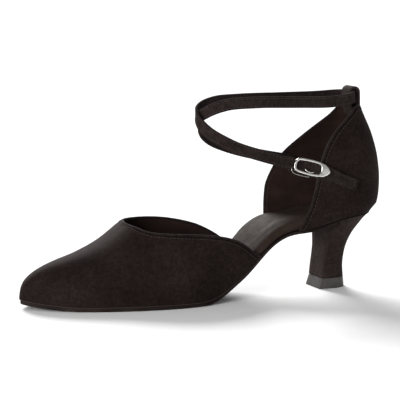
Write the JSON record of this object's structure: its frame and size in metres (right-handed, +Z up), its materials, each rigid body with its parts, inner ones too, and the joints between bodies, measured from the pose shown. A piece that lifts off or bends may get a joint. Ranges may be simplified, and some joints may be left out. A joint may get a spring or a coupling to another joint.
{
  "type": "ballroom dance shoe",
  "caption": "Women's left ballroom dance shoe with a closed toe, open waist, high back, crossed ankle strap with a buckle, and a flared heel.",
  "frame": {"origin": "bottom centre of the shoe's box, on the floor that it stands on", "axes": "+X from the toe to the heel, +Y towards the inner side of the foot, +Z up"},
  "size_m": [0.243, 0.074, 0.1307],
  "materials": {
    "suede": "black suede with a short nap",
    "smooth_leather": "smooth black leather with a soft sheen",
    "sole_suede": "matt black sole leather",
    "tip_plastic": "dark grey, satin",
    "silver": "polished silver colour"
  },
  "bodies": {
    "root": {"vamp": "suede", "quarter": "suede", "heel": "suede", "heel_loop": "suede", "strap": "suede", "buckle_tab": "suede", "insole": "smooth_leather", "sock": "smooth_leather", "outsole": "sole_suede", "heel_tip": "tip_plastic", "buckle_frame": "silver"}
  },
  "joints": []
}
